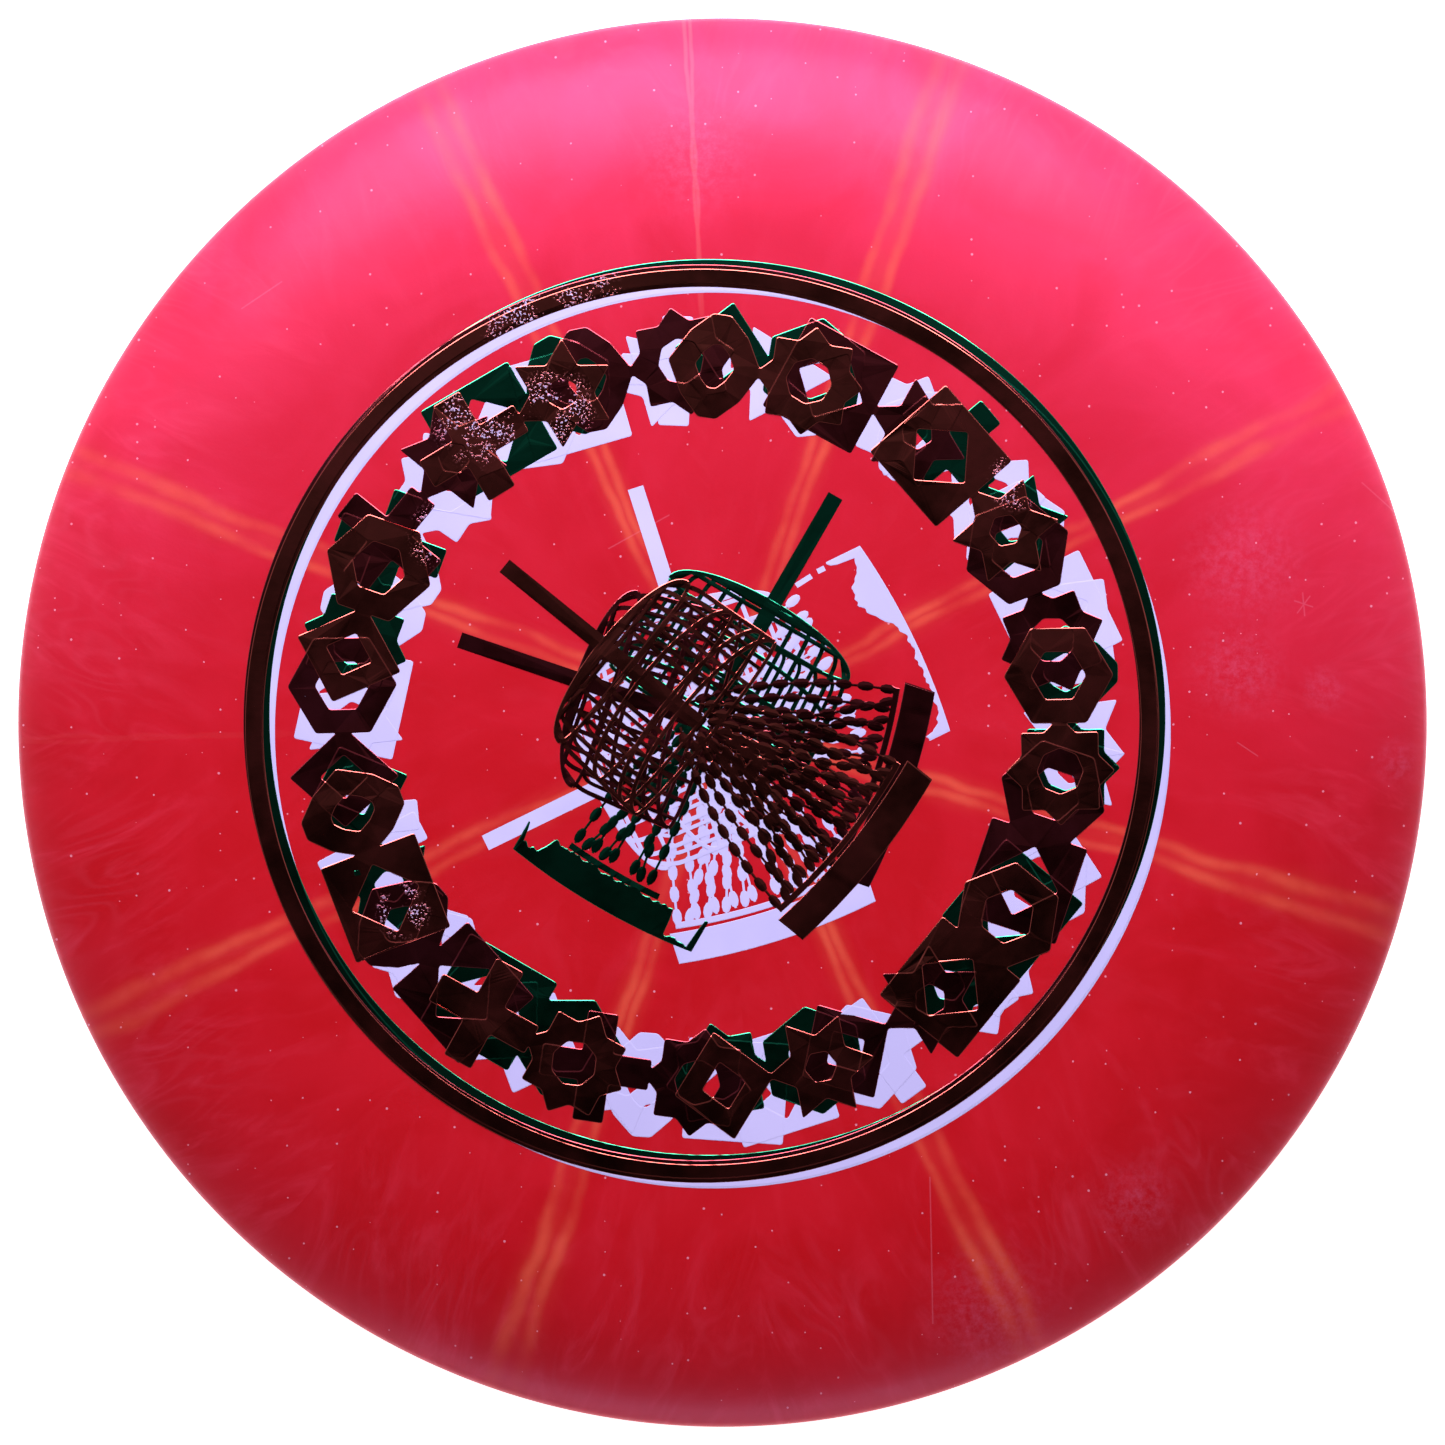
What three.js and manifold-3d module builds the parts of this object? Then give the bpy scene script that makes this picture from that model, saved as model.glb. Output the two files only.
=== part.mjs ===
// A golf disc, the flying disc that is thrown at a disc golf target, lying on its rim.
//
// The disc is one moulding: a flat flight plate, a shoulder, a blunt nose and a rim that the fingers
// hook behind. Five passes of hot stamping foil lie on the plate. All came from the same round die, and
// each was set down with another turn and a slightly different place: two in white, one in green and
// two in copper. The die holds a border ring, a picture of a target, and a circle of plain marks that
// touch in pairs. Every separate patch of foil is a mesh of its own.
//
// Millimetres. +Z is up, along the disc's own axis, and the origin is at the middle of the surface that
// the rim stands on.

import * as THREE from "three";
import { mergeVertices } from "three/addons/utils/BufferGeometryUtils.js";
import Module from "manifold-3d";

const wasm = await Module();
wasm.setup();

const radians = THREE.MathUtils.degToRad;

// ---- Driving dimensions -------------------------------------------------------------------------

const DISC_RADIUS = 106; // centre to nose
const HEIGHT = 19; // foot to the top of the plate
const FLAT_RADIUS = 73; // the flight plate is flat inside this radius
const PLATE_THICKNESS = 2.2;
const RIM_DEPTH = 13.8; // foot to the underside of the plate, where it meets the rim
const RIM_INNER_RADIUS = 93.6; // inside wall at the foot
const WALL_DRAFT = 0.4; // how far the inside wall leans in on its way up
const WALL_FILLET = 2.6; // inside wall to plate
const FOOT_WIDTH = 1.5; // flat ring that the disc stands on
const FOOT_CHAMFER = 0.5;
const NOSE_HEIGHT = 8.4; // the widest point, above the foot
const NOSE_ROUND = 2.4;
const NOSE_ARC = [-45, 45]; // degrees, from the wing below it to the shoulder above it
const GATE_RADIUS = 6; // shallow dish in the underside, where the plastic was injected
const GATE_DEPTH = 0.5;
const GATE_STUB_RADIUS = 1.8; // trimmed stub of the sprue, in the middle of the dish

const TURN_STEPS = 72; // facets round the disc
const CURVE_STEPS = 4; // facets along each curve of the section

const FOIL_THICKNESS = 0.05;
const FOIL_PITCH = 0.06; // from one pass up to the next
const FOIL_GAP = 0.01; // plate to the first pass

const BORDER_RADIUS = 68.3; // outside of the die's border ring
const BORDER_WIDTH = 2.7;
const BORDER_STEPS = 48;

const MARK_CIRCLE = 53.4; // radius through the middle of the marks
const MARK_SIZE = 16.4; // height of a mark, measured outwards from the die's centre
const MARK_LAP = 1; // how far the two marks of a pair run into each other
const CROSS_ARM = 4.6; // width of the cross's arms

// Each pass: its place above the plate is its place in this list. turn is the direction of the picture's
// pole, in degrees from +X, and x and y are the die's centre.
const PASSES = [
  { name: "white_foil_1", foil: "white", turn: 107.7, x: -1.46, y: -1.1 },
  { name: "white_foil_2", foil: "white", turn: 206, x: -1.3, y: -1.35 },
  { name: "green_foil", foil: "green", turn: 60, x: -2.1, y: 0.95 },
  { name: "copper_foil_1", foil: "copper", turn: 161.3, x: -3.3, y: 0.15 },
  { name: "copper_foil_2", foil: "copper", turn: 141, x: -3.05, y: -0.5 },
];

const foils = {
  white: new THREE.MeshStandardMaterial({ color: 0xd5c9fb, roughness: 0.45, metalness: 0 }),
  green: new THREE.MeshStandardMaterial({ color: 0x1f7a55, roughness: 0.2, metalness: 1 }),
  copper: new THREE.MeshStandardMaterial({ color: 0xa8512e, roughness: 0.2, metalness: 1 }),
};
const plastic = new THREE.MeshStandardMaterial({ color: 0xcf2745, roughness: 0.3, metalness: 0 });

// ---- Disc body ----------------------------------------------------------------------------------

// Half of the disc's section, from the axis under the plate, round the rim and back to the axis on top.
// x is the radius and y the height.
function bodySection() {
  const underside = HEIGHT - PLATE_THICKNESS;
  const wallTop = RIM_INNER_RADIUS - WALL_DRAFT;
  const footInner = RIM_INNER_RADIUS + FOOT_CHAMFER;
  const footOuter = footInner + FOOT_WIDTH;
  const noseCentre = DISC_RADIUS - NOSE_ROUND;
  const [noseLow, noseTop] = NOSE_ARC.map(radians);
  const section = new THREE.Path();

  section.moveTo(0, underside);
  section.lineTo(GATE_STUB_RADIUS, underside);
  section.lineTo(GATE_STUB_RADIUS, underside + GATE_DEPTH);
  section.lineTo(GATE_RADIUS - GATE_DEPTH, underside + GATE_DEPTH);
  section.lineTo(GATE_RADIUS, underside);
  section.lineTo(FLAT_RADIUS, underside);
  section.bezierCurveTo(
    FLAT_RADIUS + 7, underside, wallTop - 10, RIM_DEPTH + 1, wallTop - WALL_FILLET, RIM_DEPTH,
  );

  section.quadraticCurveTo(wallTop, RIM_DEPTH - 0.4, wallTop, RIM_DEPTH - WALL_FILLET);
  section.lineTo(RIM_INNER_RADIUS, FOOT_CHAMFER);
  section.lineTo(footInner, 0);
  section.lineTo(footOuter, 0);

  const wingTip = [
    noseCentre + NOSE_ROUND * Math.cos(noseLow),
    NOSE_HEIGHT + NOSE_ROUND * Math.sin(noseLow),
  ];
  section.quadraticCurveTo(footOuter + 4, 1.6, ...wingTip);
  section.absarc(noseCentre, NOSE_HEIGHT, NOSE_ROUND, noseLow, noseTop, false);
  section.bezierCurveTo(DISC_RADIUS - 4.6, HEIGHT - 5, DISC_RADIUS - 15, HEIGHT, FLAT_RADIUS, HEIGHT);
  section.lineTo(0, HEIGHT);
  return section.getPoints(CURVE_STEPS);
}

function discBody() {
  const geometry = new THREE.LatheGeometry(bodySection(), TURN_STEPS);
  geometry.rotateX(Math.PI / 2); // the lathe turns about Y
  const mesh = new THREE.Mesh(geometry, plastic);
  mesh.name = "disc_body";
  return mesh;
}

// ---- Sheets of foil from flat outlines ----------------------------------------------------------

function foilSheet(shape) {
  return new THREE.ExtrudeGeometry(shape, { depth: FOIL_THICKNESS, bevelEnabled: false });
}

function toSolid(geometry) {
  const bare = geometry.clone();
  bare.deleteAttribute("normal");
  bare.deleteAttribute("uv");
  const merged = mergeVertices(bare, 1e-4);
  return new wasm.Manifold(
    new wasm.Mesh({
      numProp: 3,
      vertProperties: merged.getAttribute("position").array,
      triVerts: new Uint32Array(merged.index.array),
    }),
  );
}

// One sheet from shapes that overlap.
function joinedSheet(shapes) {
  const solids = shapes.map((shape) => toSolid(foilSheet(shape)));
  const { vertProperties, triVerts } = solids.reduce((whole, part) => whole.add(part)).getMesh();
  return new THREE.BufferGeometry()
    .setAttribute("position", new THREE.BufferAttribute(vertProperties, 3))
    .setIndex(new THREE.BufferAttribute(triVerts, 1));
}

const vectors = (points) => points.map(([x, y]) => new THREE.Vector2(x, y));

function shapeOf(outline, hole = []) {
  const shape = new THREE.Shape(vectors(outline));
  if (hole.length) shape.holes.push(new THREE.Path(vectors(hole)));
  return shape;
}

// A strip of constant width along a line of points.
function strip(points, width) {
  const sides = points.map(([x, y], i) => {
    const [x0, y0] = points[Math.max(i - 1, 0)];
    const [x1, y1] = points[Math.min(i + 1, points.length - 1)];
    const half = width / 2 / Math.hypot(x1 - x0, y1 - y0);
    const offset = [(y0 - y1) * half, (x1 - x0) * half];
    return [-1, 1].map((side) => [x + side * offset[0], y + side * offset[1]]);
  });
  return shapeOf([...sides.map((pair) => pair[0]), ...sides.map((pair) => pair[1]).reverse()]);
}

// ---- The die's marks ----------------------------------------------------------------------------

// Points round the origin. Their radii repeat the list, and the first lies at the start angle.
function polygon(count, radii, start = 0) {
  return Array.from({ length: count }, (_, i) => {
    const angle = radians(start + (360 / count) * i);
    const radius = radii[i % radii.length];
    return [radius * Math.cos(angle), radius * Math.sin(angle)];
  });
}

const flattened = (points, share) => points.map(([x, y]) => [x * share, y]);

// Four equal arms: in every quarter turn, the two corners of an arm's end and the crook beside it.
function cross(reach, arm) {
  const quarter = [[reach, -arm], [reach, arm], [arm, arm]];
  return [0, 1, 2, 3].flatMap((turns) => quarter.map((corner) => {
    let [x, y] = corner;
    for (let i = 0; i < turns; i++) [x, y] = [-y, x];
    return [x, y];
  }));
}

// An oval of straight sides that draws in towards its top and foot.
function lens(reach) {
  return polygon(10, [reach]).map(([x, y]) => [x * (0.86 - Math.abs(y) / reach / 3), y]);
}

// Each mark reaches its full half width on its own middle line, so that two side by side touch there.
const HALF = MARK_SIZE / 2;
const marks = {
  hexagon: [polygon(6, [HALF], 30), polygon(6, [HALF * 0.5], 30)],
  diamond: [flattened(polygon(4, [HALF]), 0.92), flattened(polygon(4, [HALF * 0.44]), 0.92)],
  star: [polygon(12, [HALF, HALF * 0.58]), polygon(6, [HALF * 0.3])],
  square: [polygon(4, [HALF * 1.3], 45), polygon(4, [HALF * 0.66])],
  cog: [polygon(16, [HALF, HALF * 0.76]), polygon(8, [HALF * 0.42])],
  cross: [cross(HALF, CROSS_ARM / 2)],
  lens: [lens(HALF), lens(HALF * 0.42)],
};

const PAIRS = [
  ["hexagon", "square"],
  ["star", "diamond"],
  ["cog", "cross"],
  ["square", "lens"],
  ["diamond", "hexagon"],
  ["cross", "star"],
  ["lens", "cog"],
  ["square", "star"],
  ["hexagon", "cog"],
];

const halfWidth = ([outline]) => Math.max(...outline.map(([x]) => x));
const moved = (points, x) => points.map((point) => [point[0] + x, point[1]]);

function pairSheet([left, right]) {
  const leftPlace = MARK_LAP / 2 - halfWidth(marks[left]);
  const rightPlace = halfWidth(marks[right]) - MARK_LAP / 2;
  return joinedSheet([
    shapeOf(...marks[left].map((points) => moved(points, leftPlace))),
    shapeOf(...marks[right].map((points) => moved(points, rightPlace))),
  ]);
}

// ---- The die's picture: a plain front view of a disc golf target, pole along -Y -----------------

const POLE = { width: 2.4, bottom: 38 };
const BAND = { half: 15.4, bottom: 26.8, height: 4.8, bow: 1.5 };
const CHAIN = { strands: 3, first: 4, pitch: 4.4, width: 1.5, foot: 3 };
const CAGE = { half: 16, top: -1, bottom: -15.5, dip: 3.2, wire: 1, bars: 5, taper: 0.96, loop: 3 };

// Points across the picture on a shallow bow, its middle that far below its ends.
function bowPoints(half, y, bow, steps = 4) {
  return Array.from({ length: steps + 1 }, (_, i) => {
    const share = (2 * i) / steps - 1;
    return [share * half, y - bow * (1 - share * share)];
  });
}

function bandShape() {
  const { half, bottom, height, bow } = BAND;
  return strip(bowPoints(half, bottom + height / 2, -bow), height);
}

// Strands from the band to the pole, one each side at a time.
function chainShapes() {
  const { strands, first, pitch, width, foot } = CHAIN;
  return Array.from({ length: strands * 2 }, (_, i) => {
    const side = i % 2 ? -1 : 1;
    const top = side * (first + pitch * Math.floor(i / 2));
    return strip([[top, BAND.bottom + 2], [side * 0.4, foot]], width);
  });
}

// Two hoops, and upright bars from the lower one to a little above the upper one. Bars and hoops end on
// each other's middle lines.
function cageShapes() {
  const { half, top, bottom, dip, wire, bars, taper, loop } = CAGE;
  const hoops = [[top, half], [bottom, half * taper]].map(([y, side]) => strip(bowPoints(side, y, dip), wire));
  const uprights = Array.from({ length: bars }, (_, i) => {
    const share = (2 * i) / (bars - 1) - 1;
    const drop = dip * (1 - share * share);
    return strip([[share * half * taper, bottom - drop], [share * half, top - drop + loop]], wire);
  });
  return [...hoops, ...uprights];
}

// The chains hide the pole above the cage.
const poleShape = () => strip([[0, -POLE.bottom], [0, CHAIN.foot + 1]], POLE.width);

// ---- Stamp passes -------------------------------------------------------------------------------

const border = foilSheet(
  shapeOf(polygon(BORDER_STEPS, [BORDER_RADIUS]), polygon(BORDER_STEPS, [BORDER_RADIUS - BORDER_WIDTH])),
);
const picture = joinedSheet([bandShape(), poleShape(), ...chainShapes(), ...cageShapes()]);
const pairSheets = PAIRS.map(pairSheet);

// Everything that one stroke of the press lays down.
function stampPass({ name, foil, turn, x, y }, level) {
  const group = new THREE.Group();
  const patch = (geometry, piece) => {
    const mesh = new THREE.Mesh(geometry, foils[foil]);
    mesh.name = `${name}_${piece}`;
    group.add(mesh);
    return mesh;
  };
  patch(border, "border");
  patch(picture, "target");
  pairSheets.forEach((sheet, i) => {
    const angle = radians((360 / PAIRS.length) * i);
    const marksMesh = patch(sheet, `marks_${i + 1}`);
    marksMesh.position.set(MARK_CIRCLE * Math.sin(angle), MARK_CIRCLE * Math.cos(angle), 0);
    marksMesh.rotation.z = -angle;
  });
  group.position.set(x, y, HEIGHT + FOIL_GAP + level * FOIL_PITCH);
  group.rotation.z = radians(turn + 90); // the pole is drawn along -Y
  return group;
}

const disc = new THREE.Group();
disc.add(discBody(), ...PASSES.map(stampPass));

export default disc;
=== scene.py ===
# Golf disc with five passes of hot stamping foil: the looks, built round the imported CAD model.
#
# The CAD model gives the disc's box and the place, turn and height of every patch of foil. The moulding
# is turned again here with a fine section and a marbled plastic. The marks are cut again from their CAD
# outlines, the border is made rounder, and the picture is drawn again with finer wires and chains. Each
# patch of foil is draped over the foil beneath it, so that lower edges show through the upper ones.
#
# Blender works in metres. Outlines and foil are worked out in millimetres, and MM takes them to metres.

import math

import bpy
import numpy as np
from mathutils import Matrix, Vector, noise
from mathutils.geometry import delaunay_2d_cdt


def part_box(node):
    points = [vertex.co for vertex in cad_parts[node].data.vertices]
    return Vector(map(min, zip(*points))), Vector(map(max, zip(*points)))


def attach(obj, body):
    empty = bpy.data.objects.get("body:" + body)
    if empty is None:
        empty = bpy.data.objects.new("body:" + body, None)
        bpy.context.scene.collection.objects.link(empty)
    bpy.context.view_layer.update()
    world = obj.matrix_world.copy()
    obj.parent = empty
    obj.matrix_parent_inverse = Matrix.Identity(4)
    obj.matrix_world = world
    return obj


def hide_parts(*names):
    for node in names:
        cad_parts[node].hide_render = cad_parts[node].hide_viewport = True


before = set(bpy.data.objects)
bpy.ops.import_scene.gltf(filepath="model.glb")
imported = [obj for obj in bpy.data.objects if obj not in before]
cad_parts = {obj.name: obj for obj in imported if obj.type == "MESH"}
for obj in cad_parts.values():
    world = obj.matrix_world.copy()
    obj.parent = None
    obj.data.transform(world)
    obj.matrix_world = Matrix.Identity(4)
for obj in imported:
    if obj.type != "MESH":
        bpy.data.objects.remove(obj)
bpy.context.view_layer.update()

MM = 0.001

# ---- Sizes --------------------------------------------------------------------------------------

BODY_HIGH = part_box("disc_body")[1] / MM
DISC_RADIUS = BODY_HIGH.x
HEIGHT = BODY_HIGH.z
FLAT_RADIUS = 73.0
PLATE_THICKNESS = 2.2
RIM_DEPTH = 13.8
RIM_INNER_RADIUS = 93.6
WALL_DRAFT = 0.4
WALL_FILLET = 2.6
FOOT_WIDTH = 1.5
FOOT_ROUND = 0.5
NOSE_HEIGHT = 8.4
NOSE_ROUND = 2.4
GATE_RADIUS = 6.0  # of the shallow dish under the plate
GATE_DEPTH = 0.5
GATE_STUB_RADIUS = 1.8
TURN_STEPS = 512

FOIL_THICKNESS = 0.04
CORNER_CUT = 0.45  # how far back from a corner of a mark its rounding starts
EDGE_WIDTH = 0.15  # foil falls off over this width at its edge
STEP_HALF = 0.1  # half the width of a lower edge's step, where it shows through the foil above
LINE_STEP = 0.5  # between the points of a line that shows through
UNDERLAP = 0.004  # how far a patch reaches down into what it lies on
BLUR = 0.06  # spread of the softening of a map's edges
GRID = 0.05  # cell of the maps that hold which pass lies where
GRID_HALF = 73.0

# ---- Curves -------------------------------------------------------------------------------------


def bezier(points, steps):
    """Points along a quadratic or cubic curve, without its first point."""
    rows = []
    for i in range(1, steps + 1):
        share = i / steps
        level = [np.array(p, float) for p in points]
        while len(level) > 1:
            level = [a + (b - a) * share for a, b in zip(level, level[1:])]
        rows.append(tuple(level[0]))
    return rows


def arc(centre, radius, start, end, steps):
    """Points on an arc, angles in degrees, both ends included."""
    angles = np.radians(np.linspace(start, end, steps + 1))
    return [(centre[0] + radius * math.cos(a), centre[1] + radius * math.sin(a)) for a in angles]


def body_section():
    """Half of the moulding's section, from the axis under the plate round to the axis on top."""
    under = HEIGHT - PLATE_THICKNESS
    gate_floor = under + GATE_DEPTH
    wall_top = RIM_INNER_RADIUS - WALL_DRAFT
    wall_end = RIM_DEPTH - WALL_FILLET
    foot_in = RIM_INNER_RADIUS + FOOT_ROUND
    foot_out = foot_in + FOOT_WIDTH
    nose = (DISC_RADIUS - NOSE_ROUND, NOSE_HEIGHT)
    nose_arc = arc(nose, NOSE_ROUND, -45, 45, 24)
    points = [(0, under - 0.05), (GATE_STUB_RADIUS * 0.7, under - 0.02)]
    points += bezier([points[-1], (GATE_STUB_RADIUS, under), (GATE_STUB_RADIUS + 0.1, gate_floor)], 5)
    points += [(GATE_RADIUS - GATE_DEPTH, gate_floor)]
    points += bezier([points[-1], (GATE_RADIUS - 0.2, gate_floor), (GATE_RADIUS, under + 0.1)], 5)
    points += bezier([points[-1], (GATE_RADIUS, under), (GATE_RADIUS + 0.3, under)], 3)
    points += [(r, under) for r in np.linspace(GATE_RADIUS + 2, FLAT_RADIUS, 12)]
    hollow_edge = (wall_top - WALL_FILLET, RIM_DEPTH)
    points += bezier([points[-1], (FLAT_RADIUS + 7, under), (wall_top - 10, RIM_DEPTH + 1), hollow_edge], 18)
    points += bezier([points[-1], (wall_top, RIM_DEPTH - 0.4), (wall_top, wall_end)], 12)
    points += [(wall_top + WALL_DRAFT * s, wall_end - s * 10.7) for s in (0.3, 0.6, 0.9)]
    points += [(RIM_INNER_RADIUS, FOOT_ROUND)]
    points += bezier([points[-1], (RIM_INNER_RADIUS, 0), (foot_in, 0)], 6)
    points += [(foot_out, 0)]
    points += bezier([points[-1], (foot_out + 4, 1.6), nose_arc[0]], 16)
    points += nose_arc[1:]
    shoulder = [(DISC_RADIUS - 4.6, HEIGHT - 5), (DISC_RADIUS - 15, HEIGHT), (FLAT_RADIUS, HEIGHT)]
    points += bezier([points[-1]] + shoulder, 40)
    points += [(r, HEIGHT) for r in np.linspace(FLAT_RADIUS - 4, 4, 16)] + [(0, HEIGHT)]
    return points


def mesh_object(name, vertices, faces, smooth):
    """A new object from vertices in millimetres."""
    mesh = bpy.data.meshes.new(name)
    mesh.from_pydata([tuple(c * MM for c in v) for v in vertices], [], faces)
    mesh.validate()
    mesh.polygons.foreach_set("use_smooth", [smooth] * len(mesh.polygons))
    piece = bpy.data.objects.new(name, mesh)
    bpy.context.scene.collection.objects.link(piece)
    return piece


def lathe(name, section, steps):
    """Turns a section that starts and ends on the axis about Z."""
    turns = [2 * math.pi * i / steps for i in range(steps)]
    ring_points = section[1:-1]
    vertices = [(r * math.cos(a), r * math.sin(a), z) for r, z in ring_points for a in turns]
    first, last = len(vertices), len(vertices) + 1
    vertices += [(0, 0, section[0][1]), (0, 0, section[-1][1])]
    faces = []
    for ring in range(len(ring_points) - 1):
        for i in range(steps):
            j = (i + 1) % steps
            low, high = ring * steps, (ring + 1) * steps
            faces.append((low + i, low + j, high + j, high + i))
    top = (len(ring_points) - 1) * steps
    for i in range(steps):
        j = (i + 1) % steps
        faces.append((first, j, i))
        faces.append((last, top + i, top + j))
    return mesh_object(name, vertices, faces, True)


# ---- Outlines of the foil -----------------------------------------------------------------------


def top_faces(node):
    """The faces of a CAD patch of foil that look up."""
    return [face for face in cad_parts[node].data.polygons if face.normal.z > 0.9]


def outline_loops(node):
    """The closed outlines of a CAD patch of foil seen from above, in millimetres."""
    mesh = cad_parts[node].data
    sides = {}
    for face in top_faces(node):
        corners = [tuple(round(c / MM, 4) for c in mesh.vertices[i].co[:2]) for i in face.vertices]
        for a, b in zip(corners, corners[1:] + corners[:1]):
            if sides.get(b) == a or (b, a) in sides:
                sides.pop((b, a))
            else:
                sides[(a, b)] = True
    following = dict(sides.keys())
    loops = []
    while following:
        start, point = following.popitem()
        loop = [start]
        while point != start:
            loop.append(point)
            point = following.pop(point)
        loops.append(np.array(loop))
    return loops


def straightened(loop):
    """The loop without points that lie in the middle of a straight side."""
    before, after = np.roll(loop, 1, axis=0), np.roll(loop, -1, axis=0)
    a, b = loop - before, after - loop
    turn = np.abs(a[:, 0] * b[:, 1] - a[:, 1] * b[:, 0])
    return loop[turn > 1e-3 * np.hypot(*a.T) * np.hypot(*b.T)]


def rounded(loop):
    """The loop with its corners rounded a little, as an engraved die has them."""
    points = []
    loop = straightened(loop)
    for before, corner, after in zip(np.roll(loop, 1, axis=0), loop, np.roll(loop, -1, axis=0)):
        ends = []
        for other in (before, after):
            side = other - corner
            length = math.hypot(*side)
            ends.append(corner + side / length * min(CORNER_CUT, length * 0.35))
        points += [tuple(ends[0])] + bezier([ends[0], corner, ends[1]], 4)
    return np.array(points)


def circle(centre, radius, steps):
    """Points round a circle."""
    angles = np.arange(steps) * 2 * math.pi / steps
    return np.stack([centre[0] + radius * np.cos(angles), centre[1] + radius * np.sin(angles)], axis=1)


def along(loop, step, closed=True):
    """The loop with points added, so that none are further apart than step."""
    rows = []
    ends = np.roll(loop, -1, axis=0) if closed else loop[1:]
    for a, b in zip(loop, ends):
        count = max(1, math.ceil(math.hypot(*(b - a)) / step))
        rows += [a + (b - a) * i / count for i in range(count)]
    if not closed:
        rows.append(loop[-1])
    return np.array(rows)


def beside(line, distance, closed=True):
    """A line at the same distance from another all along it, to its left."""
    if closed:
        before, after = np.roll(line, 1, axis=0), np.roll(line, -1, axis=0)
    else:
        before, after = np.vstack([line[:1], line[:-1]]), np.vstack([line[1:], line[-1:]])
    along_it = after - before
    along_it /= np.maximum(np.hypot(*along_it.T), 1e-9)[:, None]
    return line + distance * np.stack([-along_it[:, 1], along_it[:, 0]], axis=1)


def strip(points, width):
    """The outline of a band of even width along a line."""
    line = np.array(points, float)
    left, right = (beside(line, side * width / 2, closed=False) for side in (1, -1))
    return np.vstack([left, right[::-1]])


# ---- The die's picture: a plain front view of a target, its pole along -Y -----------------------

POLE_WIDTH = 2.4
POLE_FOOT = -38.0
BAND_HALF = 15.4
BAND_HIGH, BAND_DEPTH, BAND_BOW = 31.8, 4.7, 1.2
BAND_STEPS = 118
BAND_RAGGED = 0.5  # how far a torn edge strays
STRIP_GAP, STRIP_WIDTH = 0.4, 0.95
STRANDS = 5  # chain strands on each side of the pole
LINK_PITCH = 3.1
LINK_HALF = (1.3, 0.72)  # along the strand, and across it
CHAIN_CORE = 0.36
CAGE_HALF = 16.6
CAGE_TOP, CAGE_LOW, CAGE_DIP = 1.0, -15.0, 4.5  # at its sides, and how much lower its near middle is
CAGE_TAPER = 0.92
FAR_DIP = -0.3  # the far side of the cage bows the other way, by this share of the near side's
HOOP_HEIGHTS = (0.0, 0.5, 0.82, 0.97)  # as shares of the cage's height
WIRE = 0.66
FAR_WIRE = 0.85  # how thick the far side's wires are drawn, as a share of the near side's
WIRE_ROUND = 0.16  # where the wires' corners start, as a share of the cage's height
NEAR_WIRES = (1.0, 0.82, 0.64, 0.46, 0.28)  # how far out the bent wires stand, as shares
FAR_WIRES = (0.91, 0.73, 0.55, 0.37)

# Two passes tore as the foil came away: (place along the band, depth that was left of it there).
TORN_BANDS = {
    "white_foil_2": (
        (-15.4, 5.6), (-14.4, 5.4), (-14.1, 1.9), (-12, 2.4), (-10.3, 4.6), (-7.5, 5.1), (-5.4, 4.2),
        (-2.8, 1.7), (0, 0.9), (12, 0.8), (14.4, 2.2), (14.6, 3.6), (15.4, 3.6),
    ),
    "green_foil": (
        (-15.4, 5.0), (-14.7, 5.0), (-14.4, 0.7), (-10.4, 0.9), (-10, 5.0), (10.5, 5.0), (12, 2.2),
        (14.7, 1.8), (15, 5.0), (15.4, 5.0),
    ),
}
STRIPS_LEFT = {"green_foil": (-7.6, 8.7)}  # from where to where a torn pass kept the thin strip
CHAIN_ENDS = {"white_foil_2": 20.3}  # where the chains of a torn pass end
# Strands that a pass left out, numbered as chain_lines gives them, and minus on the -X side.
LOST_STRANDS = {"green_foil": (4, 5, 8, 9, -3, -4, -5, -7, -8, -9)}
CRUMBS = {"white_foil_2": (((-14.7, 25.6), (-14.7, 24.4)), ((-14.5, 23.3), (-14.2, 20.6)))}
CRUMB_WIDTH = 0.8


def bow(half, y, rise, steps=24):
    """A shallow arch across the picture."""
    shares = np.linspace(-1, 1, steps + 1)
    return np.stack([shares * half, y + rise * (1 - shares**2)], axis=1)


def band_shapes(name):
    """The band over the chains, and the thin strip under it that the chains hang from."""
    torn = TORN_BANDS.get(name)
    x = np.linspace(-BAND_HALF, BAND_HALF, BAND_STEPS)
    top = BAND_HIGH + BAND_BOW * (1 - (x / BAND_HALF) ** 2)
    depth = np.full_like(x, BAND_DEPTH)
    if torn:
        ragged = np.array([noise.noise((place * 1.3, BAND_DEPTH, 0)) for place in x])
        depth = np.interp(x, *zip(*torn)) + BAND_RAGGED * ragged
    band = np.vstack([np.stack([x, top], axis=1), np.stack([x, top - depth], axis=1)[::-1]])
    under = bow(BAND_HALF - 1.2, BAND_HIGH - BAND_DEPTH - STRIP_GAP - STRIP_WIDTH / 2, BAND_BOW)
    if torn:
        start, end = STRIPS_LEFT.get(name, (0, 0))
        under = under[(under[:, 0] > start) & (under[:, 0] < end)]
    return [band] + ([strip(under, STRIP_WIDTH)] if len(under) else [])


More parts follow.
